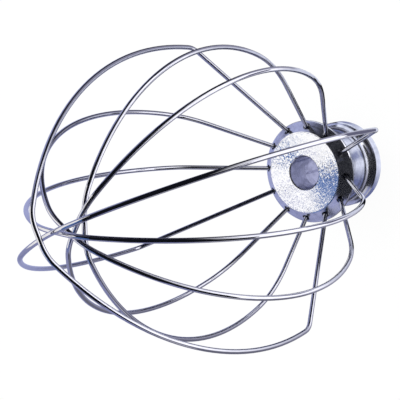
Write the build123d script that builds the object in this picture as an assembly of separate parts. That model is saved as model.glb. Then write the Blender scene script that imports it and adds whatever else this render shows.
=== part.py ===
from build123d import *

import os
from dataclasses import dataclass
from math import asin, atan2, cos, hypot, pi, radians, sin, tan

# Wire whisk for a stand mixer: a turned hub and six bent wire loops. Sizes are in millimetres.
# The origin is the centre of the hub's seat face, and +Z runs along the axis to the whisk's tip.

# Hub, a turned piece with a bevelled head, a neck and a flange
HUB_HEIGHT = 29.5
BORE_DIAMETER = 13.0
FLANGE_DIAMETER = 34.2
FLANGE_THICKNESS = 4.2
NECK_DIAMETER = 28.0
COVE_HEIGHT = 4.8
RIM_DIAMETER = 40.0
RIM_LAND = 1.0
BACK_BEVEL_HEIGHT = 6.0
FACE_DIAMETER = 31.6
BEVEL_HEIGHT = 3.3
EDGE_BREAK = 0.4
HEAD_EDGE_BREAK = 0.25

# Bayonet slot in the bore for the shaft's drive pin: an entry from the seat, then a turn to the lock
SLOT_WIDTH = 5.2
SLOT_DEPTH = 3.0
SLOT_FRONT_WALL = 9.8
SLOT_ANGLE = 218.0
LOCK_TURN = 30.0

# Wire and the holes that hold its ends
WIRE_DIAMETER = 1.7
HOLE_CLEARANCE = 0.04
HOLE_DEPTH = 8.0
MOUTH_WIDENING = 0.45
MOUTH_DEPTH = 0.9

# Loops, with heights above the hub's front face and radii from the axis
TIP_HEIGHT = 120.0
TIP_PITCH = 3.8
CROWN_HALF_LENGTH = 2.5

# The four inner loops have the same bends, each loop a little higher and wider than the last
INNER_WIDEST_RADIUS = 50.8
INNER_WIDENING = 0.55
INNER_WIDEST_HEIGHT = 53.6
INNER_LIFT = 3.35
INNER_SHOULDER_HEIGHT = 30.0
INNER_SHOULDER_RADIUS = 40.0
INNER_TIP_RADIUS = 20.5
FOURTH_LEAN_ANGLE = -2.4

# The two outer loops have tight shoulders, and are formed each in its own way
OUTER_SHOULDER_RADIUS = 7.0
FIFTH_WIDEST_RADIUS = 60.5
FIFTH_WIDEST_HEIGHT = 52.9
FIFTH_SHOULDER_HEIGHT = 41.2
FIFTH_TIP_RADIUS = 36.0
FIFTH_NEAR_LEAN_ANGLE = -5.4
FIFTH_FAR_LEAN_ANGLE = -0.3
SIXTH_WIDEST_RADIUS = 56.4
SIXTH_WIDEST_HEIGHT = 49.3
SIXTH_SHOULDER_HEIGHT = 37.6
SIXTH_TIP_RADIUS = 12.0
SIXTH_LEAN_ANGLE = -2.2

# Worked out from the sizes above
BORE_RADIUS = BORE_DIAMETER / 2
FLANGE_RADIUS = FLANGE_DIAMETER / 2
NECK_RADIUS = NECK_DIAMETER / 2
RIM_RADIUS = RIM_DIAMETER / 2
FACE_RADIUS = FACE_DIAMETER / 2
WIRE_RADIUS = WIRE_DIAMETER / 2
HOLE_RING_RADIUS = (FACE_RADIUS + RIM_RADIUS) / 2
HOLE_RING_HEIGHT = HUB_HEIGHT - BEVEL_HEIGHT / 2
FROM_BOTTOM = (Align.CENTER, Align.CENTER, Align.MIN)


@dataclass
class Loop:
    """One wire loop. Its leans turn each half round the axis, away from the plane of its two holes."""

    hole: int
    widest_radius: float
    widest_height: float
    shoulder_height: float
    shoulder_radius: float
    tip_radius: float
    near_lean: float = 0.0
    far_lean: float = 0.0


def inner_loop(step, hole, lean=0.0):
    """One of the loops that share their bends, counted outwards from the innermost."""
    return Loop(
        hole=hole,
        widest_radius=INNER_WIDEST_RADIUS + step * INNER_WIDENING,
        widest_height=INNER_WIDEST_HEIGHT + step * INNER_LIFT,
        shoulder_height=INNER_SHOULDER_HEIGHT,
        shoulder_radius=INNER_SHOULDER_RADIUS,
        tip_radius=INNER_TIP_RADIUS,
        near_lean=lean,
        far_lean=lean,
    )


# From the innermost loop to the outermost: each crosses over the tip of the one before
LOOPS = [
    inner_loop(0, hole=3),
    inner_loop(1, hole=2),
    inner_loop(2, hole=5),
    inner_loop(3, hole=0, lean=FOURTH_LEAN_ANGLE),
    Loop(
        hole=1,
        widest_radius=FIFTH_WIDEST_RADIUS,
        widest_height=FIFTH_WIDEST_HEIGHT,
        shoulder_height=FIFTH_SHOULDER_HEIGHT,
        shoulder_radius=OUTER_SHOULDER_RADIUS,
        tip_radius=FIFTH_TIP_RADIUS,
        near_lean=FIFTH_NEAR_LEAN_ANGLE,
        far_lean=FIFTH_FAR_LEAN_ANGLE,
    ),
    Loop(
        hole=4,
        widest_radius=SIXTH_WIDEST_RADIUS,
        widest_height=SIXTH_WIDEST_HEIGHT,
        shoulder_height=SIXTH_SHOULDER_HEIGHT,
        shoulder_radius=OUTER_SHOULDER_RADIUS,
        tip_radius=SIXTH_TIP_RADIUS,
        near_lean=SIXTH_LEAN_ANGLE,
        far_lean=SIXTH_LEAN_ANGLE,
    ),
]
HOLE_STEP = 180 / len(LOOPS)


def broken(before, corner, after, size):
    """The two points that take the place of a sharp corner, set back from it along both sides."""
    return [corner + (end - corner).normalized() * size for end in (before, after)]


def turned_body():
    """Revolve the hub's section: flange, cove, neck, back bevel, rim land, front bevel and face."""
    rim_top = HUB_HEIGHT - BEVEL_HEIGHT
    rim_bottom = rim_top - RIM_LAND
    cove_top = Vector(NECK_RADIUS, FLANGE_THICKNESS + COVE_HEIGHT)
    neck_top = Vector(NECK_RADIUS, rim_bottom - BACK_BEVEL_HEIGHT)
    rim_back = Vector(RIM_RADIUS, rim_bottom)
    rim_front = Vector(RIM_RADIUS, rim_top)
    face_edge = Vector(FACE_RADIUS, HUB_HEIGHT)
    bore_front = Vector(BORE_RADIUS, HUB_HEIGHT)
    bore_back = Vector(BORE_RADIUS, 0)
    flange_back = Vector(FLANGE_RADIUS, 0)
    flange_front = Vector(FLANGE_RADIUS, FLANGE_THICKNESS)
    neck_foot = Vector(NECK_RADIUS, FLANGE_THICKNESS)
    flange_edge = broken(flange_back, flange_front, neck_foot, EDGE_BREAK)
    outside = Polyline(
        cove_top,
        neck_top,
        *broken(neck_top, rim_back, rim_front, HEAD_EDGE_BREAK),
        *broken(rim_back, rim_front, face_edge, HEAD_EDGE_BREAK),
        *broken(rim_front, face_edge, bore_front, HEAD_EDGE_BREAK),
        *broken(face_edge, bore_front, bore_back, EDGE_BREAK),
        bore_back,
        *broken(bore_back, flange_back, flange_front, EDGE_BREAK),
        *flange_edge,
    )
    cove = TangentArc(cove_top, flange_edge[-1], tangent=(0, -1))
    return revolve(Plane.XZ * make_face(outside.edges() + cove.edges()), Axis.Z)


def bayonet_slot():
    """The room that the drive pin needs in the bore's wall, from the seat up and round to the lock."""
    reach = BORE_RADIUS + SLOT_DEPTH
    top = HUB_HEIGHT - SLOT_FRONT_WALL
    pin_height = top - SLOT_WIDTH / 2
    entry_turn = Rot(0, 0, SLOT_ANGLE)
    entry = entry_turn * Box(reach, SLOT_WIDTH, pin_height, align=(Align.MIN, Align.CENTER, Align.MIN))
    track = Pos(reach / 2, pin_height) * Rectangle(reach, SLOT_WIDTH)
    turn = entry_turn * revolve(Plane.XZ * track, Axis.Z, LOCK_TURN)
    room = entry + turn
    for angle in (SLOT_ANGLE, SLOT_ANGLE + LOCK_TURN):
        outwards = Plane((0, 0, pin_height), z_dir=(cos(radians(angle)), sin(radians(angle)), 0))
        room += outwards * Cylinder(SLOT_WIDTH / 2, reach, align=FROM_BOTTOM)
    return room & Cylinder(reach, top, align=FROM_BOTTOM)


def upright(angle, radius, height):
    """A point at a radius and a height, in the upright half-plane at an angle round the axis."""
    return Vector(radius * cos(radians(angle)), radius * sin(radians(angle)), height)


@dataclass
class HalfLoop:
    """The bends of half a loop, as points from its hole to the crown."""

    hole: Vector
    leg: Vector
    shoulder_start: Vector
    shoulder_end: Vector
    tip_start: Vector
    crown: Vector

    @property
    def end(self):
        """Where the wire's end rests, on the bottom of its hole."""
        return self.hole - self.leg * HOLE_DEPTH

    def edges(self):
        """The leg, the shoulder, the long side and the tip, each tangent to the one before."""
        leg = Line(self.end, self.shoulder_start)
        shoulder = TangentArc(self.shoulder_start, self.shoulder_end, tangent=leg % 1)
        side = TangentArc(self.shoulder_end, self.tip_start, tangent=shoulder % 1)
        tip = TangentArc(self.tip_start, self.crown, tangent=side % 1)
        return [leg, shoulder, side, tip]


def half_loop(loop, step, side_angle, lean):
    """Work out half a loop: the leg is straight from the hole, and touches the shoulder's arc."""
    hole_angle = loop.hole * HOLE_STEP + side_angle
    widest_height = HUB_HEIGHT + loop.widest_height
    tip_height = HUB_HEIGHT + TIP_HEIGHT + step * TIP_PITCH

    # The long side is an arc that is upright at the widest point and touches the tip's arc
    reach = loop.widest_radius - CROWN_HALF_LENGTH
    rise = tip_height - loop.tip_radius - widest_height
    side_radius = (reach**2 + rise**2 - loop.tip_radius**2) / (2 * (reach - loop.tip_radius))
    side_centre = loop.widest_radius - side_radius
    tip_turn = atan2(rise, CROWN_HALF_LENGTH - side_centre)

    # The shoulder's arc touches the side's arc at the shoulder height, and the leg touches the shoulder
    drop = asin((loop.widest_height - loop.shoulder_height) / side_radius)
    shoulder_radius = side_centre + side_radius * cos(drop)
    shoulder_height = widest_height - side_radius * sin(drop)
    run = shoulder_radius - loop.shoulder_radius * cos(drop) - HOLE_RING_RADIUS
    climb = shoulder_height + loop.shoulder_radius * sin(drop) - HOLE_RING_HEIGHT
    leg_angle = atan2(climb, run) - asin(loop.shoulder_radius / hypot(run, climb))
    tangent = loop.shoulder_radius * tan((pi / 2 - drop - leg_angle) / 2)

    # A lean moves the loop round the axis, but the leg still starts from its own hole
    def at(radius, height):
        return upright(hole_angle + lean, radius, height)

    hole = upright(hole_angle, HOLE_RING_RADIUS, HOLE_RING_HEIGHT)
    corner = at(shoulder_radius - tangent * sin(drop), shoulder_height - tangent * cos(drop))
    leg = (corner - hole).normalized()
    return HalfLoop(
        hole=hole,
        leg=leg,
        shoulder_start=corner - leg * tangent,
        shoulder_end=at(shoulder_radius, shoulder_height),
        tip_start=at(
            side_centre + side_radius * cos(tip_turn),
            widest_height + side_radius * sin(tip_turn),
        ),
        crown=at(CROWN_HALF_LENGTH, tip_height),
    )


def loop_halves(step, loop):
    """Both halves of a loop, from opposite holes."""
    return half_loop(loop, step, 0, loop.near_lean), half_loop(loop, step, 180, loop.far_lean)


def loop_path(near, far):
    """The wire's centre line: one half, the crown over the axis, and the other half."""
    first = near.edges()
    second = far.edges()
    if (near.crown - far.crown).cross(first[-1] % 1).length < 1e-6:
        crown = Line(near.crown, far.crown)
    else:
        crown = TangentArc(near.crown, far.crown, tangent=first[-1] % 1)
    return Wire([edge.edge() for edge in first + [crown] + second])


def bent_wire(near, far):
    """Sweep the round wire along a loop's centre line."""
    path = loop_path(near, far)
    section = Plane(near.end, z_dir=near.leg) * Circle(WIRE_RADIUS)
    return sweep(section, path)


def wire_hole(half):
    """A blind hole along a leg, with a wider mouth on the bevel."""
    run_out = RIM_RADIUS - FACE_RADIUS
    bottom = Plane(half.end, z_dir=half.leg)
    mouth = Plane(half.hole - half.leg * MOUTH_DEPTH, z_dir=half.leg)
    hole_radius = WIRE_RADIUS + HOLE_CLEARANCE
    hole = bottom * Cylinder(hole_radius, HOLE_DEPTH + run_out, align=FROM_BOTTOM)
    return hole + mouth * Cylinder(hole_radius + MOUTH_WIDENING, MOUTH_DEPTH + run_out, align=FROM_BOTTOM)


def main():
    os.makedirs("parts", exist_ok=True)
    halves = [loop_halves(step, loop) for step, loop in enumerate(LOOPS)]
    hub = turned_body() - bayonet_slot()
    for near, far in halves:
        hub -= wire_hole(near)
        hub -= wire_hole(far)
    export_step(hub, "parts/hub.step")
    for number, (near, far) in enumerate(halves, start=1):
        export_step(bent_wire(near, far), f"parts/wire_loop_{number}.step")


main()
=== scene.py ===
from dataclasses import dataclass
from math import cos, pi, radians, sin

import bmesh
import bpy
from mathutils import Matrix, Vector


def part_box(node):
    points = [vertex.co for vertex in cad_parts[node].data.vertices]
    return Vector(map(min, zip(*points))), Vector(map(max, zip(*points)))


# Looks of a wire whisk: a turned aluminium hub and polished steel wire loops on a white floor.
# Lengths are in metres and angles in degrees. A span is where a mask starts and where it is full.
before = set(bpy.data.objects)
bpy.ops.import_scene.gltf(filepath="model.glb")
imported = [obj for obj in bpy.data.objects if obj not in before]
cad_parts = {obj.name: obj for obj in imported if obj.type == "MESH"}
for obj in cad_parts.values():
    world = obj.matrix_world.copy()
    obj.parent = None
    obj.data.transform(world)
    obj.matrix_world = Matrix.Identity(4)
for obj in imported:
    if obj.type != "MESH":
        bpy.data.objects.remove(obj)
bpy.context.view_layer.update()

# Camera, fitted to the photograph, with its lens and sensor in millimetres
CAMERA_PLACE = Vector((0.2381, 0.0715, 0.3873))
CAMERA_TARGET = Vector((0.0002, -0.0006, 0.0937))
CAMERA_ROLL = -103.72
CAMERA_LENS = 101.08
SENSOR_WIDTH = 36.0

# Places on the hub: its front face, read from the frame, its bore and the wire holes in its bevel
FACE_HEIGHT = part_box("hub")[1].z
FACE_SPAN = (FACE_HEIGHT - 0.0001, FACE_HEIGHT - 0.00002)
BORE_SPAN = (0.0067, 0.0066)
HOLE_COUNT = 12
HOLE_REACH = 0.0179
HOLE_HEIGHT = FACE_HEIGHT - 0.00165
# Span of the painted shade round each wire hole
HOLE_SHADE_SPAN = (0.0017, 0.0011)

# Finish of the hub
HUB_COLOUR = (0.66, 0.67, 0.74, 1)
HUB_DULL = (0.48, 0.49, 0.55, 1)
# Colour of the painted shade round the wire holes
HUB_HOLE_SHADE = (0.05, 0.05, 0.06, 1)
HUB_METALLIC = 0.975
HUB_ROUGHNESS = (0.13, 0.24)
FACE_ROUGHNESS = 0.18
SMEAR_SCALE = 160.0
SMEAR_DETAIL = 2.0
BLOTCH_SCALE = 420.0
BLOTCH_DETAIL = 4.0
BLOTCH_SPAN = (0.38, 0.68)
BLOTCH_SHARE = 0.9
BORE_BLOTCH_SHARE = 1.4
RING_SCALE = 1500.0
RING_DETAIL = 3.0
RING_LEAN = 0.03

# Facets of the hub's face. A lean is a slope: above zero it is outwards, and below zero inwards
FACET_SCALE = 3000.0
FACET_LEAN = 0.2
FACET_SPREAD = 0.19
INWARD_LEAN = -0.14
INWARD_LEAN_AT_BORE = 2.2 * INWARD_LEAN
INWARD_LEAN_SPAN = (0.009, 0.0125)
INWARD_SIDE_SPAN = (-0.002, 0.008)
INWARD_SHARE = 0.4
INWARD_CHANCE_SPAN = (0.8, 0.9)

# Finish of the wire
WIRE_COLOUR = (0.5, 0.5, 0.56, 1)
WIRE_DULL = (0.45, 0.45, 0.51, 1)
WIRE_DULL_SPAN = (0.4, 0.7)
WIRE_ROUGHNESS = (0.04, 0.07)
WIRE_SCALE = 400.0
WIRE_DETAIL = 3.0

# The middle range of a noise, which most of its values lie in
NOISE_SPAN = (0.3, 0.7)

# Floor and lamp
WHITE = (1, 1, 1, 1)
PAPER_WHITE = (0.98, 0.98, 0.98, 1)
FLOOR_GLOW = 0.93
FLOOR_HEIGHT = -0.00005
FLOOR_WIDTH = 3.0
STAGE_MIDDLE = Vector((0, 0, 0.08))
LAMP_ROUND = 238
LAMP_UP = 20
LAMP_DISTANCE = 1.0
LAMP_SIZE = 0.5
LAMP_POWER = 3.0

# Colours of the tent, the cards and the flags, which show in reflections alone
BLACK = (0.01, 0.011, 0.016, 1)
KEY_WHITE = (2.0, 2.0, 2.0, 1)
LEFT_WHITE = (1.6, 1.57, 1.45, 1)
LAVENDER = (0.55, 0.59, 0.88, 1)
LOW_LAVENDER = (0.44, 0.46, 0.7, 1)
LOW_GREY = (0.75, 0.75, 0.8, 1)
LOW_BLUE = (0.42, 0.45, 0.78, 1)
FACE_BLUE = (0.13, 0.26, 0.6, 1)
FOLD_GREY = (0.24, 0.24, 0.34, 1)
# NECK_WHITE is also the painted highlight on the sheet beside the hub
NECK_WHITE = (1.12, 1.16, 1.3, 1)
TENT_RADIUS = 1.4
TENT_SEGMENTS = 48
TENT_RINGS = 24


@dataclass
class Card:
    """A flat card that fades from its first colour to its last, between two shares of its width.

    Angles are the view's: round is 0 behind the whisk, 90 at the right, 180 in front and 270 at the left.
    """

    name: str
    round: float
    up: float
    distance: float
    size: tuple
    first: tuple
    last: tuple
    fade: tuple = (0.0, 1.0)


@dataclass
class Flag:
    """A small flat piece of one colour near the hub, turned about one axis."""

    name: str
    place: tuple
    size: tuple
    colour: tuple
    turn: float
    axis: str


CARDS = [
    Card("right_card", 141, 28, 0.36, (0.2, 0.416), KEY_WHITE, BLACK, (0.35, 1.0)),
    Card("upper_card", 254, 47, 0.367, (0.67, 0.187), BLACK, LAVENDER, (0.3, 0.6)),
    Card("left_card", 268, -6, 0.95, (1.3, 1.38), LEFT_WHITE, LOW_LAVENDER, (0.75, 1.0)),
    Card("left_back_card", 288, -22, 1.05, (2.0, 1.3), LOW_LAVENDER, LOW_LAVENDER),
    Card("blue_card", 235, -28, 0.8, (0.32, 0.52), FACE_BLUE, FACE_BLUE),
    Card("low_blue_card", 252, -54, 0.78, (0.3, 0.2), FACE_BLUE, FACE_BLUE),
    Card("lower_card", 295, -66, 0.9, (0.92, 0.52), LOW_LAVENDER, LOW_LAVENDER),
    Card("low_card", 147, -74, 0.278, (0.19, 0.135), LOW_GREY, LOW_BLUE, (0.3, 0.7)),
]
FLAGS = [
    Flag("flag", (0.035, 0.0075, 0.012), (0.01, 0.055), BLACK, 90, "Y"),
    Flag("rim_flag", (0.035, -0.0025, 0.025), (0.016, 0.035), BLACK, 90, "Y"),
    Flag("fold_flag", (0.076, 0.0325, 0.045), (0.032, 0.055), FOLD_GREY, 0, "Z"),
    Flag("cove_flag", (-0.004, 0.051, 0.014), (0.044, 0.016), NECK_WHITE, 90, "X"),
]

# Sheet over the floor that shows in reflections alone: a painted reflection of the floor, with painted
# shade and painted highlights where the white floor would show
SHEET_HEIGHT = 0.0003
SHEET_WIDTH = 2.8
SHEET_SHADE = (0.03, 0.03, 0.04, 1)
SHEET_GREY = (0.46, 0.46, 0.58, 1)
SHEET_LAVENDER = (0.55, 0.59, 0.92, 1)
LOW_SHEET_LAVENDER = (0.36, 0.38, 0.62, 1)
SHADE_LAVENDER = (0.2, 0.23, 0.45, 1)
SHEET_HIGHLIGHT = (2.2, 2.2, 2.2, 1)
BORE_LAVENDER = (0.6, 0.61, 0.84, 1)
NECK_SHADE_LAVENDER = (0.34, 0.38, 0.62, 1)

# Zones of the sheet's painted reflection: spans along X, along Y or outwards from the axis, and directions
# with their spans
GREY_LOW_SHARE = 0.5
GREY_Y_SPAN = (-0.12, -0.05)
GREY_FAR_Y_SPAN = (0.4, 0.15)
GREY_WAY = ((0.9, -0.2, 0), (-0.08, -0.01))
LAVENDER_WAYS = [((-0.85, -0.5, 0), (0.02, 0.08)), ((-0.94, 0.33, 0), (-0.002, 0.02))]
LAVENDER_TONE_Y_SPAN = (-0.2, 0.08)
BRIGHT_X_SPAN = (0.03, 0.09)
BRIGHT_WAYS = [((0.5, 0.87, 0), (-0.01, 0.06)), ((0.87, -0.5, 0), (-0.01, 0.05))]
RIGHT_X_SPAN = (0.0, 0.01)
RIGHT_Y_SPAN = (-0.01, 0.001)
WHITE_SPAN = (0.08, 0.07)
DARK_RING_SPAN = (0.038, 0.036)
NEAR_SPAN = (0.025, 0.023)
UNDER_BORE_SPAN = (0.009, 0.008)
PATCH_SPAN = (0.0195, 0.0205)
PATCH_Y_SPAN = (0.005, 0.008)
PATCH_END_Y_SPAN = (0.0135, 0.0115)


class Graph:
    """A material's or a world's node tree, with short ways to add nodes and links."""

    def __init__(self, owner):
        owner.use_nodes = True
        self.tree = owner.node_tree
        self.tree.nodes.clear()

    def add(self, kind, inputs=None, **settings):
        node = self.tree.nodes.new(kind)
        for name, value in settings.items():
            setattr(node, name, value)
        for name, value in (inputs or {}).items():
            self.fill(node.inputs[name], value)
        return node

    def fill(self, socket, value):
        """Link another node's output to a socket, or set the socket's own value."""
        if isinstance(value, bpy.types.NodeSocket):
            self.tree.links.new(value, socket)
        else:
            socket.default_value = value

    def math(self, operation, *inputs):
        return self.add("ShaderNodeMath", dict(enumerate(inputs)), operation=operation).outputs[0]

    def product(self, first, *others):
        for other in others:
            first = self.math("MULTIPLY", first, other)
        return first

    def mix(self, factor, first, second):
        node = self.add("ShaderNodeMix", data_type="RGBA")
        sockets = {socket.identifier: socket for socket in node.inputs}
        self.fill(sockets["Factor_Float"], factor)
        self.fill(sockets["A_Color"], first)
        self.fill(sockets["B_Color"], second)
        return next(socket for socket in node.outputs if socket.identifier == "Result_Color")

    def vector(self, operation, *inputs):
        return self.add("ShaderNodeVectorMath", dict(enumerate(inputs)), operation=operation).outputs[0]

    def scaled(self, vector, amount):
        return self.add("ShaderNodeVectorMath", {0: vector, "Scale": amount}, operation="SCALE").outputs[0]

    def measure(self, operation, *inputs):
        """A number worked out from vectors, such as a length."""
        node = self.add("ShaderNodeVectorMath", dict(enumerate(inputs)), operation=operation)
        return node.outputs["Value"]

    def noise(self, place, scale, detail):
        inputs = {"Vector": place, "Scale": scale, "Detail": detail}
        return self.add("ShaderNodeTexNoise", inputs).outputs["Fac"]

    def ramp(self, value, span, low=0.0, high=1.0):
        """Carry a value's span over to a range from low to high, held at both ends."""
        start, full = span
        inputs = {"Value": value, "From Min": start, "From Max": full, "To Min": low, "To Max": high}
        return self.add("ShaderNodeMapRange", inputs).outputs["Result"]

    def finish(self, shader):
        self.add("ShaderNodeOutputMaterial", {"Surface": shader.outputs[0]})


def new_material(name):
    """A material without nodes, and its graph."""
    material = bpy.data.materials.new(name)
    return material, Graph(material)


def hub_material():
    """Turned aluminium: a matte front face that glitters, and a brighter bevel, neck, flange and bore, with
    painted shade round the wire holes.
    """
    material, g = new_material("hub_metal")
    place = g.add("ShaderNodeTexCoord").outputs["Object"]
    normal = g.add("ShaderNodeNewGeometry").outputs["Normal"]
    x, y, z = g.add("ShaderNodeSeparateXYZ", {"Vector": place}).outputs
    flat = g.vector("MULTIPLY", place, (1, 1, 0))
    outwards = g.vector("NORMALIZE", flat)
    reach = g.measure("LENGTH", flat)
    on_face = g.ramp(z, FACE_SPAN)
    off_face = g.math("SUBTRACT", 1.0, on_face)

    # Small facets of the face: most lean outwards, and at the side of +Y some lean inwards
    grain = g.add("ShaderNodeTexVoronoi", {"Vector": place, "Scale": FACET_SCALE}).outputs["Color"]
    chance = g.add("ShaderNodeSeparateColor", {"Color": grain}).outputs["Red"]
    at_side = g.ramp(y, INWARD_SIDE_SPAN)
    inwards = g.math("ADD", chance, g.product(at_side, INWARD_SHARE))
    inward_lean = g.ramp(reach, INWARD_LEAN_SPAN, INWARD_LEAN_AT_BORE, INWARD_LEAN)
    lean = g.ramp(inwards, INWARD_CHANCE_SPAN, FACET_LEAN, g.product(at_side, inward_lean))
    facets = g.scaled(outwards, g.product(lean, on_face))
    any_way = g.vector("SUBTRACT", grain, (0.5, 0.5, 0.5))
    facets = g.vector("ADD", facets, g.scaled(any_way, g.product(on_face, FACET_SPREAD)))

    # Turned rings of the other surfaces, which change along the hub's outline alone
    outline = g.add("ShaderNodeCombineXYZ", {"X": reach, "Z": z}).outputs["Vector"]
    rings = g.noise(outline, RING_SCALE, RING_DETAIL)
    around = g.vector("CROSS_PRODUCT", (0, 0, 1), outwards)
    along = g.vector("CROSS_PRODUCT", around, normal)
    lean = g.product(g.ramp(rings, NOISE_SPAN, -RING_LEAN, RING_LEAN), off_face)
    marks = g.vector("ADD", facets, g.scaled(along, lean))
    marked = g.vector("NORMALIZE", g.vector("ADD", normal, marks))

    smear = g.noise(place, SMEAR_SCALE, SMEAR_DETAIL)
    polish = g.ramp(smear, NOISE_SPAN, *HUB_ROUGHNESS)
    roughness = g.math("MAXIMUM", polish, g.product(on_face, FACE_ROUGHNESS))

    # Dull blotches, strongest in the bore
    blotch = g.ramp(g.noise(place, BLOTCH_SCALE, BLOTCH_DETAIL), BLOTCH_SPAN)
    share = g.ramp(reach, BORE_SPAN, BLOTCH_SHARE, BORE_BLOTCH_SHARE)
    colour = g.mix(g.product(blotch, share, off_face), HUB_COLOUR, HUB_DULL)

    # Painted shade round each wire hole, darkest where the wire enters it: the angle is taken from the
    # nearest hole's
    half_step = pi / HOLE_COUNT
    angle = g.math("WRAP", g.math("ARCTAN2", y, x), half_step, -half_step)
    from_hole = g.add("ShaderNodeCombineXYZ", {
        "X": g.product(angle, reach),
        "Y": g.math("SUBTRACT", reach, HOLE_REACH),
        "Z": g.math("SUBTRACT", z, HOLE_HEIGHT),
    }).outputs["Vector"]
    hole_shade = g.ramp(g.measure("LENGTH", from_hole), HOLE_SHADE_SPAN)
    colour = g.mix(g.product(hole_shade, off_face), colour, HUB_HOLE_SHADE)

    g.finish(g.add("ShaderNodeBsdfPrincipled", {
        "Base Color": colour,
        "Metallic": HUB_METALLIC,
        "Roughness": roughness,
        "Normal": marked,
    }))
    return material


def wire_material():
    """Polished steel wire, with a fine change of polish and tone."""
    material, g = new_material("wire_steel")
    place = g.add("ShaderNodeTexCoord").outputs["Object"]
    grain = g.noise(place, WIRE_SCALE, WIRE_DETAIL)
    g.finish(g.add("ShaderNodeBsdfPrincipled", {
        "Base Color": g.mix(g.ramp(grain, WIRE_DULL_SPAN), WIRE_COLOUR, WIRE_DULL),
        "Metallic": 1.0,
        "Roughness": g.ramp(grain, NOISE_SPAN, *WIRE_ROUGHNESS),
    }))
    return material


def floor_material():
    """White paper that keeps a soft shadow, and is white to camera, glossy and transmission rays."""
    material, g = new_material("floor_white")
    path = g.add("ShaderNodeLightPath").outputs
    seen = g.math("MAXIMUM", path["Is Camera Ray"], path["Is Glossy Ray"])
    seen = g.math("MAXIMUM", seen, path["Is Transmission Ray"])
    paper = g.add("ShaderNodeBsdfDiffuse", {"Color": PAPER_WHITE}).outputs[0]
    glow = g.add("ShaderNodeEmission", {"Color": WHITE, "Strength": 1.0}).outputs[0]
    g.finish(g.add("ShaderNodeMixShader", {0: g.product(seen, FLOOR_GLOW), 1: paper, 2: glow}))
    return material


def glow_material(name, colour):
    """A cloth that glows with one colour."""
    material, g = new_material(name)
    g.finish(g.add("ShaderNodeEmission", {"Color": colour}))
    return material


def card_material(card):
    """A card that glows, and fades from its first colour to its last."""
    if card.first == card.last:
        return glow_material(card.name, card.first)
    material, g = new_material(card.name)
    place = g.add("ShaderNodeTexCoord").outputs["Object"]
    along = g.add("ShaderNodeSeparateXYZ", {"Vector": place}).outputs["X"]
    half = card.size[0] / 2
    fade = g.ramp(along, [(share * 2 - 1) * half for share in card.fade])
    g.finish(g.add("ShaderNodeEmission", {"Color": g.mix(fade, card.first, card.last)}))
    return material


def painted_reflection_material():
    """A painted reflection of the floor for the metal: painted shade in dark and grey, a painted highlight
    at the right, and white beside the hub.
    """
    material, g = new_material("sheet")
    place = g.add("ShaderNodeTexCoord").outputs["Object"]
    x, y, _ = g.add("ShaderNodeSeparateXYZ", {"Vector": place}).outputs
    reach = g.measure("LENGTH", place)

    def towards(way, span):
        """A mask that rises along one direction of the floor."""
        return g.ramp(g.measure("DOT_PRODUCT", place, way), span)

    # Wide zones of the floor's painted reflection: painted shade, grey, lavender and a painted highlight
    grey = g.product(g.ramp(y, GREY_Y_SPAN, GREY_LOW_SHARE), towards(*GREY_WAY), g.ramp(y, GREY_FAR_Y_SPAN))
    colour = g.mix(grey, SHEET_SHADE, SHEET_GREY)
    lavender = g.product(*[towards(*way) for way in LAVENDER_WAYS])
    tone = g.mix(g.ramp(y, LAVENDER_TONE_Y_SPAN), LOW_SHEET_LAVENDER, SHEET_LAVENDER)
    colour = g.mix(lavender, colour, tone)
    bright = g.product(g.ramp(x, BRIGHT_X_SPAN), *[towards(*way) for way in BRIGHT_WAYS])
    colour = g.mix(bright, colour, SHEET_HIGHLIGHT)

    # Round the hub: a ring of painted shade, a painted highlight beside it at the right, a painted lavender
    # shade elsewhere with a darker painted shade patch, and a painted lavender reflection under the bore
    right_side = g.product(g.ramp(y, RIGHT_Y_SPAN), g.ramp(x, RIGHT_X_SPAN))
    colour = g.mix(g.product(g.ramp(reach, WHITE_SPAN), right_side), colour, NECK_WHITE)
    colour = g.mix(g.ramp(reach, DARK_RING_SPAN), colour, SHEET_SHADE)
    near = g.mix(right_side, SHADE_LAVENDER, NECK_WHITE)
    shade_patch = g.product(g.ramp(y, PATCH_Y_SPAN), g.ramp(reach, PATCH_SPAN), g.ramp(y, PATCH_END_Y_SPAN))
    near = g.mix(shade_patch, near, NECK_SHADE_LAVENDER)
    colour = g.mix(g.ramp(reach, NEAR_SPAN), colour, near)
    colour = g.mix(g.ramp(reach, UNDER_BORE_SPAN), colour, BORE_LAVENDER)
    g.finish(g.add("ShaderNodeEmission", {"Color": colour}))
    return material


def dress_nodes():
    """Give every CAD node its finish."""
    hub_metal = hub_material()
    wire_steel = wire_material()
    for name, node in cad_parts.items():
        node.data.materials.clear()
        node.data.materials.append(hub_metal if name == "hub" else wire_steel)


def add_object(name, data, matrix):
    """Put a new object into the scene."""
    thing = bpy.data.objects.new(name, data)
    thing.matrix_world = matrix
    bpy.context.scene.collection.objects.link(thing)
    return thing


def add_camera():
    """The photograph's view with its roll. Gives the view's axes."""
    data = bpy.data.cameras.new("camera")
    data.lens = CAMERA_LENS
    data.sensor_width = SENSOR_WIDTH
    look = (CAMERA_TARGET - CAMERA_PLACE).to_track_quat("-Z", "Y").to_matrix()
    axes = look @ Matrix.Rotation(radians(CAMERA_ROLL), 3, "Z")
    bpy.context.scene.camera = add_object("camera", data, Matrix.Translation(CAMERA_PLACE) @ axes.to_4x4())
    return axes


def add_plane(name, size, matrix, material):
    """A flat stage piece: its face looks along the third axis of its matrix."""
    mesh = bpy.data.meshes.new(name)
    x, y = size[0] / 2, size[1] / 2
    mesh.from_pydata([(-x, -y, 0), (x, -y, 0), (x, y, 0), (-x, y, 0)], [], [(0, 1, 2, 3)])
    mesh.materials.append(material)
    plane = add_object(name, mesh, matrix)
    return plane


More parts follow.
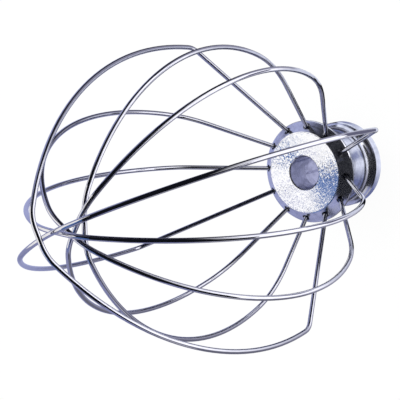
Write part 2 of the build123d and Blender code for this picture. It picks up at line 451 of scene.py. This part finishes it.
def hide_from_view(thing):
    """Keep a stage piece in reflections only: no camera sees it, and it casts no light or shadow."""
    thing.visible_camera = False
    thing.visible_diffuse = False
    thing.visible_shadow = False


def add_tent():
    """A dark tent over the floor, which the polished metal reflects."""
    mesh = bpy.data.meshes.new("tent")
    shell = bmesh.new()
    bmesh.ops.create_uvsphere(shell, u_segments=TENT_SEGMENTS, v_segments=TENT_RINGS, radius=TENT_RADIUS)
    shell.to_mesh(mesh)
    shell.free()
    mesh.materials.append(glow_material("tent", BLACK))
    tent = add_object("tent", mesh, Matrix())
    hide_from_view(tent)


def facing_middle(axes, turned, up, distance):
    """The matrix of a thing at the view's angles, upright in the view, that looks at the stage's middle."""
    level = cos(radians(up))
    side = Vector((level * sin(radians(turned)), sin(radians(up)), -level * cos(radians(turned))))
    out = axes @ side
    across = axes.col[1].cross(-out).normalized()
    upright = (-out).cross(across)
    basis = Matrix((across, upright, -out)).transposed()
    return Matrix.Translation(STAGE_MIDDLE + out * distance) @ basis.to_4x4()


def add_lamp(axes):
    """One soft lamp, which no camera or reflection shows. It shines along its own -Z axis."""
    data = bpy.data.lights.new("lamp", "AREA")
    data.size = LAMP_SIZE
    data.energy = LAMP_POWER
    facing = facing_middle(axes, LAMP_ROUND, LAMP_UP, LAMP_DISTANCE)
    lamp = add_object("lamp", data, facing @ Matrix.Rotation(pi, 4, "X"))
    lamp.visible_camera = False
    lamp.visible_glossy = False


def add_stage(axes):
    """The floor, and what shows in reflections alone: the tent, its cards, the sheet and the flags."""
    floor = Matrix.Translation((0, 0, FLOOR_HEIGHT))
    add_plane("floor", (FLOOR_WIDTH, FLOOR_WIDTH), floor, floor_material())
    add_tent()
    for card in CARDS:
        matrix = facing_middle(axes, card.round, card.up, card.distance)
        hide_from_view(add_plane(card.name, card.size, matrix, card_material(card)))
    sheet = Matrix.Translation((0, 0, SHEET_HEIGHT))
    hide_from_view(add_plane("sheet", (SHEET_WIDTH, SHEET_WIDTH), sheet, painted_reflection_material()))
    for flag in FLAGS:
        matrix = Matrix.Translation(flag.place) @ Matrix.Rotation(radians(flag.turn), 4, flag.axis)
        hide_from_view(add_plane(flag.name, flag.size, matrix, glow_material(flag.name, flag.colour)))


def add_world():
    """A plain white level of light."""
    world = bpy.data.worlds.new("studio")
    bpy.context.scene.world = world
    g = Graph(world)
    sky = g.add("ShaderNodeBackground", {"Color": WHITE, "Strength": 1.0})
    g.add("ShaderNodeOutputWorld", {"Surface": sky.outputs[0]})


dress_nodes()
view_axes = add_camera()
add_stage(view_axes)
add_lamp(view_axes)
add_world()
bpy.context.scene.view_settings.view_transform = "Standard"
